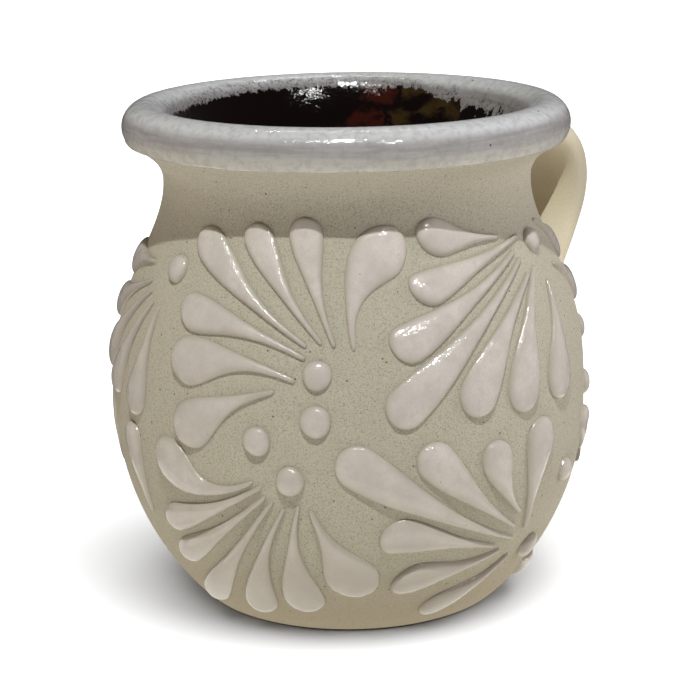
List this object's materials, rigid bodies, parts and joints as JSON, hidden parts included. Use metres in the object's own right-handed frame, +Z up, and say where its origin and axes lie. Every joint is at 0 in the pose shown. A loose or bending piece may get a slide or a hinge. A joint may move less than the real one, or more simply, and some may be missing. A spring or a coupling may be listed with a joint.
{
  "type": "clay mug",
  "caption": "Round-bellied clay mug with a rolled glazed lip, a strap handle and raised slip petals in fans over the belly.",
  "frame": {"origin": "on the axis of the pot, in the plane of the foot's underside, on the surface that the mug stands on", "axes": "+Z up along the pot's axis; -Y towards the side shown in the picture; +X to the right seen from there; the handle stands behind and to the right, 130 degrees from the front towards +X"},
  "size_m": [0.1002, 0.0968, 0.1],
  "materials": {
    "clay": "unglazed fired clay, matte grey-beige with fine dark specks",
    "handle_clay": "unglazed fired clay, matte pale straw",
    "slip": "raised off-white slip under a clear gloss",
    "pale_glaze": "glossy pale grey-white glaze with a few pinholes",
    "dark_glaze": "glossy near-black brown glaze"
  },
  "bodies": {
    "root": {"pot_body": "clay", "handle": "handle_clay", "rim_glaze": "pale_glaze", "liner_glaze": "dark_glaze", "front_upper_fan": "slip", "front_lower_fan": "slip", "right_upper_fan": "slip", "right_lower_fan": "slip", "left_upper_fan": "slip", "left_lower_fan": "slip", "back_left_upper_fan": "slip", "back_left_lower_fan": "slip", "back_upper_fan": "slip", "back_lower_fan": "slip", "under_handle_fan": "slip", "front_dots": "slip", "right_dots": "slip", "left_dots": "slip", "back_dots": "slip"}
  },
  "joints": []
}
